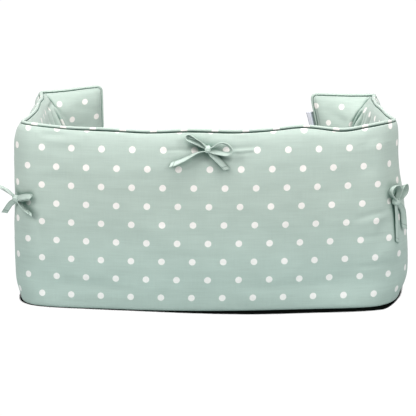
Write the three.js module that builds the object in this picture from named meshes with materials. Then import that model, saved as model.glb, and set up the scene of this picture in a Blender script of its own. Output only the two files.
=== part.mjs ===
import * as THREE from 'three';

// A dog crate bumper: one long padded strip of spotted cotton that stands on its edge and bends round
// three sides of a crate. It has piping along its top and down its free ends, three ties in bows on the
// outside and a folded ribbon tab in one end seam.
// Millimetres, +Z up. The origin is on the floor under the middle of the long panel, the outside of
// that panel faces -Y, and the space for the dog lies towards +Y.

// Driving dimensions of the pad.
const SEAM_HEIGHT = 285; // floor to the seam under the piping
const PAD_THICKNESS = 31;
const FOOT_WIDTH = 25; // flat strip that the pad stands on
const SEAM_WIDTH = 3.2; // pad where its two faces meet at the seam
const TOP_DRAW = 80; // height over which the faces close to the top seam
const FOOT_DRAW = 70; // height over which they open from the foot
const END_DRAW = 30; // length over which they close to a free end
const END_CORNER = 7; // radius of the top corners at the free ends
const FOLD_ROUND = 8; // length over which the outer face turns at a far fold
const END_SLACK = 12.5; // how far the right free end is drawn in below its top corner
const END_SLACK_LOW = 215; // height from which it is drawn in all the way
const END_SLACK_HIGH = 292;
const END_SLACK_FOOT = 90; // height below which it comes out again to the floor

// Driving dimensions of the trimmings.
const CLEARANCE = 0.3; // between sewn pieces
const PIPING_RADIUS = 2.6;
const PIPING_START = 3; // height of the piping's ends above the floor
const TIE_WIDTH = 9;
const TIE_THICKNESS = 1.4;
const KNOT = { width: 9.2, height: 11, depth: 9 };
const TAB = {
  root: 0.9, // where the ribbon leaves the pad, past the end of the flap
  reach: 14.5,
  height: 32,
  top: 257,
  slant: 2, // how much lower its outer edge sits
  layer: 0.8,
  gap: 0.6, // between the two layers of the folded ribbon
  offset: 3.1, // from the middle line to its inner face
};

// The plan of the pad's middle line, walked outwards from the middle of the long panel: each run's
// length and how far it turns, in degrees. A fold turns on the spot. steps is how many sections it gets.
const PLAN = {
  left: [
    { run: 'panel', length: 268, turn: 14, steps: 10 },
    { run: 'corner', length: 42, turn: 76, steps: 6 },
    { run: 'side', length: 336, turn: -6, steps: 10 },
    { run: 'fold', length: 0, turn: 73, steps: 0 },
    { run: 'flap', length: 117, turn: 0, steps: 4 },
  ],
  right: [
    { run: 'panel', length: 255, turn: 13.2, steps: 10 },
    { run: 'corner', length: 76, turn: 76.8, steps: 8 },
    { run: 'side', length: 281, turn: -4.5, steps: 9 },
    { run: 'fold', length: 0, turn: 88, steps: 0 },
    { run: 'flap', length: 109, turn: 0, steps: 4 },
  ],
};

const radians = THREE.MathUtils.degToRad;
const bell = (distance, reach) => Math.exp(-((distance / reach) ** 2));
const swell = (share) => Math.sqrt(1 - (1 - THREE.MathUtils.clamp(share, 0, 1)) ** 2);
const lengthOf = (runs) => runs.reduce((sum, row) => sum + row.length, 0);
const foldOf = (runs) => lengthOf(runs.slice(0, 3));
const LEFT_END = -lengthOf(PLAN.left);
const LEFT_FOLD = -foldOf(PLAN.left);
const RIGHT_FOLD = foldOf(PLAN.right);
const RIGHT_END = lengthOf(PLAN.right);

// How the soft strip has settled. at is the length along it from the middle of the long panel, negative
// to the left; reach and tall are how far each effect spreads along it and up it.
const WAVES = [ // rise of the top edge
  { at: LEFT_END, rise: 7, reach: 80 },
  { at: LEFT_FOLD, rise: 2, reach: 35 },
  { at: -290, rise: 3.3, reach: 45 },
  { at: -190, rise: -1, reach: 50 },
  { at: -90, rise: -3.5, reach: 50 },
  { at: 45, rise: -2.8, reach: 50 },
  { at: 146, rise: 3.6, reach: 32 },
  { at: 214, rise: -3.5, reach: 32 },
  { at: 290, rise: 4.5, reach: 45 },
  { at: RIGHT_FOLD, rise: 2, reach: 35 },
  { at: RIGHT_END, rise: 2, reach: 80 },
];
const LEANS = [ // both faces move outwards together
  { at: LEFT_END, height: 290, out: 6, reach: 110, tall: 150 },
  { at: -450, height: 290, out: -3.6, reach: 80, tall: 130 },
  { at: -395, height: 60, out: 10.9, reach: 110, tall: 110 },
  { at: -320, height: 290, out: -2.3, reach: 45, tall: 60 },
  { at: 335, height: 290, out: 3, reach: 45, tall: 60 },
  { at: 395, height: 60, out: 21.7, reach: 110, tall: 110 },
  { at: 425, height: 290, out: -5, reach: 50, tall: 110 },
  { at: 515, height: 290, out: -10, reach: 45, tall: 110 },
];
const BUNCHES = [ // one face grows or thins where the filling has moved
  { face: 'inner', at: LEFT_FOLD, height: 226, grow: 1.6, reach: 60, tall: 75 },
  { face: 'inner', at: RIGHT_FOLD, height: 226, grow: 1.9, reach: 60, tall: 75 },
  { face: 'outer', at: 335, height: 240, grow: -0.5, reach: 60, tall: 60 },
];

// Each bow's knot: its length along the pad and its height.
const BOWS = {
  centre: { at: 2.2, height: 259.3 },
  left: { at: -288, height: 172 },
  right: { at: 298, height: 168 },
};

// The strands of the bows. Each runs through places right of, above and out from the middle of its knot
// on the pad's face. across is the direction its width starts in, twist how far that turns on the way.
const spot = (right, up, out) => ({ right, up, out });
const STRANDS = [
  {
    bow: 'centre',
    strand: 'loop_left',
    across: spot(0.05, -0.12, 1),
    twist: 0,
    places: [
      spot(-4.9, 5.4, 5.4), spot(-10, 11.5, 7.5), spot(-20, 17, 9), spot(-29, 21.5, 9.5),
      spot(-33, 20.5, 9.5), spot(-32.5, 16.5, 9.5), spot(-25, 12.5, 9), spot(-13, 8, 7.5),
      spot(-5.3, 2.2, 6),
    ],
  },
  {
    bow: 'centre',
    strand: 'loop_right',
    across: spot(0, 0.1, 1),
    twist: -40,
    places: [
      spot(5.4, 2.1, 5.9), spot(11, 6, 8), spot(20, 10, 10), spot(29, 8, 11.5), spot(34.5, 2.5, 12),
      spot(34, -3.5, 11.5), spot(27, -6, 11), spot(17, -4.5, 9), spot(5.7, -1.7, 6.2),
    ],
  },
  {
    bow: 'centre',
    strand: 'tail_left',
    across: spot(0.1, 0.2, 1),
    twist: -30,
    places: [
      spot(-5.6, -3.1, 5.6), spot(-12, -3.5, 7), spot(-20, -6.5, 8.5), spot(-32, -13.5, 8.5),
      spot(-44, -19.5, 7), spot(-56, -24, 5),
    ],
  },
  {
    bow: 'centre',
    strand: 'tail_right',
    across: spot(0.66, 0.62, 0.4),
    twist: 0,
    places: [spot(4.9, -7.1, 4.7), spot(11, -12, 6), spot(20, -21, 6), spot(28.5, -31, 4.6)],
  },
  {
    bow: 'left',
    strand: 'loop_left',
    across: spot(0.77, 0.1, 0.64),
    twist: 0,
    places: [
      spot(-4.6, 4.2, 5.4), spot(-8, 11.5, 12.5), spot(-12, 15, 18), spot(-16, 17, 22), spot(-19.5, 17, 25.5),
      spot(-20.5, 14.5, 26), spot(-17, 13.6, 22), spot(-11.5, 10, 16), spot(-6.4, 2, 7.6),
    ],
  },
  {
    bow: 'left',
    strand: 'loop_right',
    across: spot(0, 1, 0),
    twist: 0,
    places: [
      spot(4.9, 2, 6.2), spot(9, 6, 10), spot(15, 7.5, 11), spot(19.5, 7, 9), spot(18.5, 6, 5.5),
      spot(11.5, 4.5, 4), spot(5, 2.5, 3.3),
    ],
  },
  {
    bow: 'left',
    strand: 'tail_left',
    across: spot(-0.6, 0.1, 0.67),
    twist: 0,
    places: [spot(-4.3, -4.4, 5.2), spot(-6.6, -10, 10), spot(-8.5, -17.5, 14), spot(-11, -25, 17)],
  },
  {
    bow: 'left',
    strand: 'tail_right',
    across: spot(0.65, 0.4, 0.5),
    twist: 0,
    places: [spot(4.9, -6.1, 4.6), spot(9, -10.5, 5.4), spot(14.5, -17, 5.4), spot(20, -25, 4.4)],
  },
  {
    bow: 'right',
    strand: 'loop_left',
    across: spot(-0.1, -0.35, 0.93),
    twist: 0,
    places: [
      spot(-5.2, 2, 5.8), spot(-14, 8, 6), spot(-21, 17, 7), spot(-19, 24.5, 7.5), spot(-9, 25.5, 7.5),
      spot(-4, 16, 7), spot(-5, 6, 6.5),
    ],
  },
  {
    bow: 'right',
    strand: 'loop_right',
    across: spot(-0.5, 0.2, 0.8),
    twist: 0,
    places: [
      spot(3.5, 6.5, 5.8), spot(1.5, 13, 8.5), spot(2, 20, 11), spot(5, 24, 13.5), spot(9, 21, 13.5),
      spot(9.5, 12, 11), spot(5.8, 3.7, 6.4),
    ],
  },
  {
    bow: 'right',
    strand: 'tail_left',
    across: spot(1, 0, 0.05),
    twist: 0,
    places: [spot(-3.5, -5.9, 3.9), spot(-6, -20, 3), spot(-7, -42, 3), spot(-7, -66, 2.2)],
  },
  {
    bow: 'right',
    strand: 'tail_right',
    across: spot(0.6, 0, 0.75),
    twist: 0,
    places: [spot(3.6, -5.9, 5), spot(4.5, -15, 6), spot(4, -28, 5.5), spot(4.5, -46, 5.2)],
  },
];

// Colours and finish of the cloths.
const CLOTHS = {
  cover: { color: '#aec0b8', roughness: 0.9, metalness: 0 },
  tie: { color: '#b4c6be', roughness: 0.9, metalness: 0 },
  ribbon: { color: '#a9a6b4', roughness: 0.6, metalness: 0 },
};

// Detail of the mesh.
const FACE_STEPS = 12; // up each face, closest together at its foot and its seam
const level = (step) => (1 - Math.cos((Math.PI * step) / FACE_STEPS)) / 2;
const LEVELS = Array.from({ length: FACE_STEPS + 1 }, (_, step) => level(step));
const END_STEPS = [0, 1, 3, 6, 11, 19, 30]; // sections near a free end, from its seam
const FOLD_STEPS = [0, 2, 5, 9, 16, 28]; // sections on both sides of a fold, from the fold
const PIPING_SIDES = 8;
const TIE_STEPS = 18;
const KNOT_STEPS = 6;
const KNOT_SIDES = 12;
const KNOT_TAPER = 0.55; // width of a knot's top and bottom against its middle

// Point and heading on the middle line, walked outwards from the middle of the long panel.
function walk(runs, along) {
  const point = { x: 0, y: 0, heading: 0, folded: false };
  let left = along;
  for (const row of runs) {
    const length = row.run === 'flap' ? left : Math.min(left, row.length);
    const turn = radians(row.turn) * (row.length > 0 ? length / row.length : 1);
    const straight = turn === 0 || length === 0;
    const radius = straight ? 0 : length / turn;
    point.x += straight ? length * Math.cos(point.heading) : 0;
    point.y += straight ? length * Math.sin(point.heading) : 0;
    point.x += radius * (Math.sin(point.heading + turn) - Math.sin(point.heading));
    point.y += radius * (Math.cos(point.heading) - Math.cos(point.heading + turn));
    point.heading += turn;
    point.folded ||= row.run === 'fold';
    left -= length;
    if (left <= 0) break;
  }
  return point;
}

// Offset of a point of the strip after the filling has moved and the strip has leaned.
function settled(along, offset, height) {
  const near = (row) => bell(along - row.at, row.reach) * bell(height - row.height, row.tall);
  const face = offset < 0 ? 'inner' : 'outer';
  const grow = BUNCHES.reduce((sum, row) => sum + (row.face === face ? row.grow * near(row) : 0), 0);
  const lean = LEANS.reduce((sum, row) => sum + row.out * near(row), 0);
  return offset * (1 + grow) + lean;
}

// Length along the strip after the right flap has been drawn in towards its fold.
function drawnIn(along, height) {
  const share = Math.max(0, (along - RIGHT_FOLD) / (RIGHT_END - RIGHT_FOLD));
  const below = 1 - THREE.MathUtils.smoothstep(height, END_SLACK_LOW, END_SLACK_HIGH);
  const above = THREE.MathUtils.smoothstep(height, -END_SLACK_FOOT / 4, END_SLACK_FOOT);
  return along - END_SLACK * share * below * above;
}

// Place in the world of a point of the strip: its length along it, its offset from the middle line
// (positive outwards) and its height.
function place(length, offset, height) {
  const along = drawnIn(length, height);
  const runs = along < 0 ? PLAN.left : PLAN.right;
  const mirror = along < 0 ? -1 : 1;
  const [, , side, bend] = runs;
  const fold = foldOf(runs);
  const fromFold = Math.abs(along) - fold;
  const halfTurn = radians(bend.turn) / 2;
  const out = settled(along, offset, height);
  // Inside a fold each face is pushed back to the line that halves the angle.
  const beside = fromFold > -side.length && out < 0;
  const pushed = beside ? Math.hypot(fromFold, out * Math.tan(halfTurn)) : Math.abs(fromFold);
  const point = walk(runs, fold + (fromFold > 0 ? pushed : -pushed));
  // Outside a fold the face turns a little at a time.
  const fan = out > 0 ? halfTurn * Math.max(0, 1 - Math.abs(fromFold) / FOLD_ROUND) : 0;
  const heading = point.heading + (point.folded ? -fan : fan);
  return new THREE.Vector3(
    mirror * (point.x + out * Math.sin(heading)),
    point.y - out * Math.cos(heading),
    height,
  );
}

// Height of the top seam, with its waves and the rounded corners at the free ends.
function seamHeight(along) {
  const rise = WAVES.reduce((sum, row) => sum + row.rise * bell(along - row.at, row.reach), 0);
  const fromEnd = Math.min(along - LEFT_END, RIGHT_END - along);
  const missing = END_CORNER * (1 - swell(fromEnd / END_CORNER));
  return SEAM_HEIGHT + rise - missing;
}

// Half the pad's thickness at a point of the strip.
function halfThickness(along, height) {
  const fromEnd = Math.min(along - LEFT_END, RIGHT_END - along);
  const foot = FOOT_WIDTH / PAD_THICKNESS;
  const open = foot + (1 - foot) * swell(height / FOOT_DRAW);
  const closed = swell((seamHeight(along) - height) / TOP_DRAW) * swell(fromEnd / END_DRAW);
  return SEAM_WIDTH / 2 + ((PAD_THICKNESS - SEAM_WIDTH) / 2) * open * closed;
}

// Closed mesh through a row of sections, capped at both ends. Each section has the same even number of
// points, listed clockwise when seen from the next one.
function loft(sections) {
  const count = sections[0].length;
  const positions = sections.flat().flatMap((point) => point.toArray());
  const last = (sections.length - 1) * count;
  const index = [];
  for (let start = 0; start < last; start += count) {
    for (let k = 0; k < count; k += 1) {
      const a = start + k;
      const b = start + ((k + 1) % count);
      index.push(a, b + count, b, a, a + count, b + count);
    }
  }
  // The caps join points across the section, so they stay flat on a long thin end.
  for (let a = 0; 2 * a + 2 < count; a += 1) {
    const b = a + 1;
    const c = count - 1 - a;
    const d = c - 1;
    index.push(a, b, d, a, d, c);
    index.push(last + a, last + d, last + b, last + a, last + c, last + d);
  }
  const geometry = new THREE.BufferGeometry();
  geometry.setAttribute('position', new THREE.Float32BufferAttribute(positions, 3));
  geometry.setIndex(index);
  geometry.computeVertexNormals();
  return geometry;
}

// Lengths along the strip at which its sections are taken, closer together at ends, folds and corners.
function stations() {
  const found = [0];
  for (const [mirror, runs] of [[-1, PLAN.left], [1, PLAN.right]]) {
    const fold = foldOf(runs);
    const end = lengthOf(runs);
    let start = 0;
    for (const row of runs) {
      for (let step = 1; step <= row.steps; step += 1) {
        const along = start + (row.length * step) / row.steps;
        const clear = Math.abs(along - fold) > FOLD_STEPS.at(-1) && end - along > END_STEPS.at(-1);
        if (clear) found.push(mirror * along);
      }
      start += row.length;
    }
    found.push(...FOLD_STEPS.map((step) => mirror * (fold - step)));
    found.push(...FOLD_STEPS.slice(1).map((step) => mirror * (fold + step)));
    found.push(...END_STEPS.map((step) => mirror * (end - step)));
  }
  return found.sort((a, b) => a - b);
}

// The pad: a flat foot, two crowned faces and a narrow top where the seam runs.
function padGeometry() {
  const sections = stations().map((along) => {
    const heights = LEVELS.map((share) => share * seamHeight(along));
    const outer = heights.map((height) => place(along, halfThickness(along, height), height));
    const inner = heights.map((height) => place(along, -halfThickness(along, height), height));
    return [...outer, ...inner.reverse()];
  });
  return loft(sections);
}

// The seam's line in the strip's own flat plane, from floor to floor. angle is the direction that leads
// straight out of the seam: 0 past the free end, a quarter turn straight up.
function seamLine() {
  const rise = (end) => {
    const heights = LEVELS.slice(2, -1).map((share) => share * seamHeight(end));
    return [PIPING_START, ...heights].map((height) => ({ along: end, height, angle: 0 }));
  };
  const top = stations().map((along) => {
    const fromEnd = Math.min(along - LEFT_END, RIGHT_END - along);
    return { along, height: seamHeight(along), angle: Math.acos(Math.max(0, 1 - fromEnd / END_CORNER)) };
  });
  return [...rise(LEFT_END), ...top, ...rise(RIGHT_END).reverse()];
}

// The piping: a round cord of cloth that follows the seam just outside it.
function pipingGeometry() {
  const reach = PIPING_RADIUS + CLEARANCE;
  const sections = seamLine().map(({ along, height, angle }) => {
    const side = Math.sign(along) * Math.cos(angle);
    const ring = [];
    for (let k = 0; k < PIPING_SIDES; k += 1) {
      const around = (2 * Math.PI * k) / PIPING_SIDES;
      const away = reach + PIPING_RADIUS * Math.cos(around);
      const offset = -PIPING_RADIUS * Math.sin(around);
      ring.push(place(along + side * away, offset, height + Math.sin(angle) * away));
    }
    return ring;
  });
  return loft(sections);
}

// Place in the world of a spot near a bow's knot, measured along, up and out from the pad's outer face.
function onFace(bow, { right, up, out }) {
  const along = bow.at + right;
  const height = bow.height + up;
  return place(along, halfThickness(along, height) + out, height);
}

// A knot: a small lump of cloth, fullest in the middle, that sits on the pad's face.
function knotGeometry(bow) {
  const middle = CLEARANCE + KNOT.depth / 2;
  const sections = [];
  for (let step = 0; step <= KNOT_STEPS; step += 1) {
    const share = (2 * step) / KNOT_STEPS - 1;
    const size = KNOT_TAPER + (1 - KNOT_TAPER) * swell(1 - Math.abs(share));
    const ring = [];
    for (let k = 0; k < KNOT_SIDES; k += 1) {
      const around = (2 * Math.PI * k) / KNOT_SIDES;
      const right = (KNOT.width / 2) * size * Math.cos(around);
      const out = middle + (KNOT.depth / 2) * size * Math.sin(around);
      ring.push(onFace(bow, spot(right, (KNOT.height / 2) * share, out)));
    }
    sections.push(ring);
  }
  return loft(sections);
}

// A flat strand of a bow: its width starts in the given direction and is carried along the curve.
function strandGeometry({ bow, across, twist, places }) {
  const knot = BOWS[bow];
  const curve = new THREE.CatmullRomCurve3(places.map((row) => onFace(knot, row)), false, 'catmullrom', 0.5);
  const root = onFace(knot, places[0]);
  const towards = (step) => onFace(knot, step).sub(root).normalize();
  const { right, up, out } = places[0];
  const width = new THREE.Vector3()
    .addScaledVector(towards(spot(right + 0.5, up, out)), across.right)
    .addScaledVector(towards(spot(right, up + 0.5, out)), across.up)
    .addScaledVector(towards(spot(right, up, out + 0.5)), across.out);
  const corners = [[1, 1], [1, -1], [-1, -1], [-1, 1]];
  const sections = [];
  for (let step = 0; step <= TIE_STEPS; step += 1) {
    const share = step / TIE_STEPS;
    const centre = curve.getPoint(share);
    const travel = curve.getTangent(share);
    width.addScaledVector(travel, -width.dot(travel)).normalize();
    const wide = width.clone().applyAxisAngle(travel, radians(twist) * share).multiplyScalar(TIE_WIDTH / 2);
    const deep = new THREE.Vector3().crossVectors(travel, wide).setLength(TIE_THICKNESS / 2);
    const corner = ([w, d]) => centre.clone().addScaledVector(wide, w).addScaledVector(deep, d);
    sections.push(corners.map(corner));
  }
  return loft(sections);
}

// The side tab: one ribbon folded at its outer edge, its two layers side by side and open at the root.
function tabGeometry() {
  const { root, reach, height, top, slant, layer, gap, offset } = TAB;
  const inner = offset;
  const outer = offset + 2 * layer + gap;
  const bend = reach - layer;
  const profile = [
    [root, inner], [bend, inner], [reach, inner + layer], [reach, outer - layer], [bend, outer],
    [root, outer], [root, outer - layer], [bend, outer - layer], [bend, inner + layer], [root, inner + layer],
  ];
  const shape = new THREE.Shape(profile.map(([along, side]) => new THREE.Vector2(along, side)));
  const geometry = new THREE.ExtrudeGeometry(shape, { depth: height, bevelEnabled: false, steps: 2 });
  const position = geometry.getAttribute('position');
  for (let i = 0; i < position.count; i += 1) {
    const along = position.getX(i);
    const drop = (slant * (along - root)) / (reach - root);
    const point = place(RIGHT_END + along, position.getY(i), top - position.getZ(i) - drop);
    position.setXYZ(i, point.x, point.y, point.z);
  }
  geometry.computeVertexNormals();
  return geometry;
}

const bumper = new THREE.Group();
bumper.name = 'dog_crate_bumper';

function add(name, geometry, cloth) {
  const mesh = new THREE.Mesh(geometry, new THREE.MeshStandardMaterial(cloth));
  mesh.name = name;
  bumper.add(mesh);
}

add('pad', padGeometry(), CLOTHS.cover);
add('piping', pipingGeometry(), CLOTHS.cover);
for (const [name, bow] of Object.entries(BOWS)) {
  add(`bow_${name}_knot`, knotGeometry(bow), CLOTHS.tie);
}
for (const row of STRANDS) {
  add(`bow_${row.bow}_${row.strand}`, strandGeometry(row), CLOTHS.tie);
}
add('side_tab', tabGeometry(), CLOTHS.ribbon);

export default bumper;
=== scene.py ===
import math

import bmesh
import bpy
import numpy as np
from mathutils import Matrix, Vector, noise


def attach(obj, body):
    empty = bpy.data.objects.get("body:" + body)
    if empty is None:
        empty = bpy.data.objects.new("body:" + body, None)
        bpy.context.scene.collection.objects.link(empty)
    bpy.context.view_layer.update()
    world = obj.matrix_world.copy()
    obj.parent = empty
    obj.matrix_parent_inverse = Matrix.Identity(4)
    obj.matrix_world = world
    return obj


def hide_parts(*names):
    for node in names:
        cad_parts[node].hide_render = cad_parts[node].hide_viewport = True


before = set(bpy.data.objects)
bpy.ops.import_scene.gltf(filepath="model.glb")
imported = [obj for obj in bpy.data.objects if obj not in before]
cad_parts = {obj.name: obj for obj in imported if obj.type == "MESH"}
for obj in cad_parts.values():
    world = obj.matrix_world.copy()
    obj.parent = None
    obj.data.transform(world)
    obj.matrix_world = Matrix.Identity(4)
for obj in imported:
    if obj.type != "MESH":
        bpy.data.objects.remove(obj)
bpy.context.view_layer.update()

MM = 0.001

# -------- The bumper's sizes, in millimetres, as in the solid model --------
SEAM_HEIGHT = 285
PAD_THICKNESS = 31
FOOT_WIDTH = 25
SEAM_WIDTH = 3.2
TOP_DRAW = 80
FOOT_DRAW = 70
END_DRAW = 30
END_CORNER = 7
FOLD_ROUND = 8
END_SLACK = 12.5
END_SLACK_LOW = 215
END_SLACK_HIGH = 292
END_SLACK_FOOT = 90
PIPING_RADIUS = 2.6
PIPING_START = 3
TIE_WIDTH = 9
TIE_THICKNESS = 1.3
KNOT_WIDTH = 9.4
KNOT_HEIGHT = 11
KNOT_DEPTH = 9
TAB = dict(root=-1, reach=19, height=32, top=257, slant=2, layer=0.8, gap=0.6, offset=3.1)

PLAN = {
    "left": [
        dict(run="panel", length=268, turn=14),
        dict(run="corner", length=42, turn=76),
        dict(run="side", length=336, turn=-6),
        dict(run="fold", length=0, turn=73),
        dict(run="flap", length=117, turn=0),
    ],
    "right": [
        dict(run="panel", length=255, turn=13.2),
        dict(run="corner", length=76, turn=76.8),
        dict(run="side", length=281, turn=-4.5),
        dict(run="fold", length=0, turn=88),
        dict(run="flap", length=112.5, turn=0),
    ],
}
LEFT_FOLD = -sum(row["length"] for row in PLAN["left"][:3])
RIGHT_FOLD = sum(row["length"] for row in PLAN["right"][:3])
LEFT_END = -sum(row["length"] for row in PLAN["left"])
RIGHT_END = sum(row["length"] for row in PLAN["right"])

WAVES = [  # rise of the top edge
    dict(at=LEFT_END, rise=7, reach=80),
    dict(at=LEFT_FOLD, rise=2, reach=35),
    dict(at=-290, rise=3.3, reach=45),
    dict(at=-190, rise=-1, reach=50),
    dict(at=-90, rise=-3.5, reach=50),
    dict(at=45, rise=-2.8, reach=50),
    dict(at=146, rise=3.6, reach=32),
    dict(at=214, rise=-3.5, reach=32),
    dict(at=290, rise=4.5, reach=45),
    dict(at=RIGHT_FOLD, rise=2, reach=35),
    dict(at=RIGHT_END, rise=2, reach=80),
]
LEANS = [  # both faces move outwards together
    dict(at=LEFT_END, height=290, out=6, reach=110, tall=150),
    dict(at=-450, height=290, out=-3.6, reach=80, tall=130),
    dict(at=-395, height=60, out=9.4, reach=110, tall=110),
    dict(at=-585, height=292, out=-3, reach=32, tall=26),
    dict(at=-320, height=290, out=0.4, reach=45, tall=60),
    dict(at=335, height=290, out=3, reach=45, tall=60),
    dict(at=395, height=46, out=26, reach=110, tall=130),
    dict(at=-255, height=0, out=5, reach=60, tall=28),
    dict(at=255, height=0, out=8, reach=85, tall=28),
    dict(at=425, height=290, out=-1, reach=50, tall=110),
    dict(at=515, height=290, out=-5, reach=45, tall=110),
    dict(at=572, height=292, out=-3, reach=26, tall=26),
    dict(at=322, height=0, out=-5.5, reach=52, tall=28),
    dict(at=-318, height=0, out=-3.5, reach=50, tall=28),
]
BUNCHES = [  # one face grows or thins where the filling has moved
    dict(face="inner", at=LEFT_FOLD, height=226, grow=2.0, reach=60, tall=75),
    dict(face="inner", at=RIGHT_FOLD, height=226, grow=1.9, reach=60, tall=75),
    dict(face="outer", at=335, height=240, grow=-0.5, reach=60, tall=60),
    dict(face="outer", at=-300, height=266, grow=0.1, reach=40, tall=30),
    dict(face="outer", at=-510, height=264, grow=0.55, reach=80, tall=34),
    dict(face="outer", at=560, height=268, grow=0.3, reach=50, tall=30),
    dict(face="outer", at=325, height=0, grow=-0.5, reach=50, tall=20),
    dict(face="outer", at=-315, height=0, grow=-0.35, reach=45, tall=22),
]

# Creases and soft folds of the cloth. Each runs from start to stop, given as length along the strip and
# height; wide is its half width, out is how far it stands out, or sinks in where that is negative, and
# shade is how dark it is painted: the shade where the cloth is pinched shut, or the shadow a bow throws.
OUTER_CREASES = [
    dict(start=(-12, 258), stop=(-72, 254), wide=4, out=-0.9),
    dict(start=(-10, 252), stop=(-60, 247), wide=4, out=0.6),
    dict(start=(14, 258), stop=(84, 262), wide=4, out=-1.0),
    dict(start=(34, 254.5), stop=(76, 257.5), wide=2, out=1.0),
    dict(start=(36, 250.5), stop=(74, 253.5), wide=2.4, out=-0.7),
    dict(start=(-62, 253), stop=(-34, 254.5), wide=2, out=0.9),
    dict(start=(3, 276), stop=(2, 262), wide=5, out=-0.8),
    dict(start=(-28, 264), stop=(3, 254), wide=6, out=-0.5, shade=0.62),
    dict(start=(8, 249), stop=(38, 242), wide=6, out=-0.3, shade=0.6),
    dict(start=(-22, 247), stop=(8, 244), wide=7, out=-0.3, shade=0.3),
    dict(start=(-285, 166), stop=(-262, 144), wide=9, out=-0.4, shade=0.5),
    dict(start=(-260, 276), stop=(-215, 275), wide=4, out=-1.1),
    dict(start=(-250, 268), stop=(-190, 266), wide=7, out=0.8),
    dict(start=(258, 268), stop=(276, 196), wide=11, out=1.6),
    dict(start=(283, 262), stop=(292, 200), wide=9, out=-1.5),
    dict(start=(238, 262), stop=(252, 215), wide=10, out=-1.2),
    dict(start=(218, 250), stop=(300, 262), wide=7, out=0.7),
    dict(start=(286, 156), stop=(226, 143), wide=5, out=-1.3),
    dict(start=(284, 116), stop=(238, 113), wide=2.6, out=-0.9),
    dict(start=(282, 69), stop=(232, 66), wide=3, out=-0.8),
    dict(start=(284, 149), stop=(232, 135), wide=6, out=0.8),
    dict(start=(278, 152), stop=(262, 84), wide=9, out=-2.0),
    dict(start=(292, 150), stop=(286, 70), wide=9, out=1.3),
    dict(start=(-276, 160), stop=(-250, 96), wide=11, out=-1.1),
    dict(start=(-262, 205), stop=(-205, 214), wide=9, out=-0.7),
    dict(start=(-240, 40), stop=(-90, 33), wide=9, out=-0.7),
    dict(start=(40, 36), stop=(230, 44), wide=10, out=-0.8),
    dict(start=(-60, 120), stop=(120, 138), wide=22, out=-0.7),
    dict(start=(-230, 150), stop=(-60, 190), wide=26, out=0.7),
    dict(start=(-640, 270), stop=(-560, 225), wide=8, out=-1.6),
    dict(start=(-640, 150), stop=(-600, 210), wide=10, out=1.2),
    dict(start=(606, 268), stop=(540, 230), wide=8, out=-1.5),
    dict(start=(604, 130), stop=(560, 190), wide=10, out=1.2),
    dict(start=(380, 90), stop=(440, 200), wide=16, out=-1.6),
    dict(start=(-380, 80), stop=(-460, 190), wide=16, out=-1.4),
]
INNER_CREASES = [
    dict(start=(-645, 290), stop=(-645, 150), wide=8, out=-1.8, shade=0.6),
    dict(start=(-758, 283), stop=(-758, 190), wide=2.2, out=-1.2, shade=0.3),
    dict(start=(-633, 272), stop=(-636, 190), wide=3.2, out=-2.6),
    dict(start=(-626, 268), stop=(-628, 200), wide=3, out=1.6),
    dict(start=(-617, 264), stop=(-622, 198), wide=3.4, out=-2.4, shade=0.25),
    dict(start=(-606, 262), stop=(-613, 205), wide=3.4, out=1.5),
    dict(start=(-594, 262), stop=(-604, 212), wide=4, out=-2.2, shade=0.2),
    dict(start=(-560, 268), stop=(-590, 214), wide=5, out=-2.2, shade=0.15),
    dict(start=(-642, 274), stop=(-560, 268), wide=3, out=-1.8, shade=0.45),
    dict(start=(-500, 262), stop=(-560, 226), wide=8, out=-1.4),
    dict(start=(-652, 268), stop=(-690, 225), wide=6, out=-1.1),
    dict(start=(-700, 262), stop=(-756, 246), wide=8, out=-0.7),
    dict(start=(611, 292), stop=(611, 150), wide=8, out=-1.6, shade=0.4),
    dict(start=(611, 288), stop=(611, 250), wide=8, out=-0.6, shade=0.9),
    dict(start=(719.5, 286), stop=(719.5, 190), wide=1.4, out=-0.3, shade=0.5),
    dict(start=(602, 272), stop=(604, 190), wide=3.2, out=-1.7, shade=0.05),
    dict(start=(594, 270), stop=(597, 200), wide=3, out=1.8),
    dict(start=(586, 266), stop=(592, 196), wide=3.2, out=-2.6, shade=0.3),
    dict(start=(576, 266), stop=(585, 200), wide=3.4, out=1.7),
    dict(start=(566, 264), stop=(576, 206), wide=4, out=-2.6, shade=0.25),
    dict(start=(545, 270), stop=(562, 215), wide=4.5, out=-2.2, shade=0.2),
    dict(start=(520, 268), stop=(545, 236), wide=5, out=1.4),
    dict(start=(500, 272), stop=(530, 228), wide=5, out=-2.2, shade=0.2),
    dict(start=(622, 268), stop=(640, 220), wide=5, out=-1.3),
    dict(start=(632, 250), stop=(655, 215), wide=6, out=-1.0),
    dict(start=(655, 240), stop=(708, 262), wide=8, out=-0.8),
    dict(start=(-120, 250), stop=(90, 262), wide=10, out=-0.9),
    dict(start=(-300, 240), stop=(-345, 120), wide=12, out=-2.0),
    dict(start=(300, 240), stop=(330, 120), wide=12, out=-2.0),
]

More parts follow.
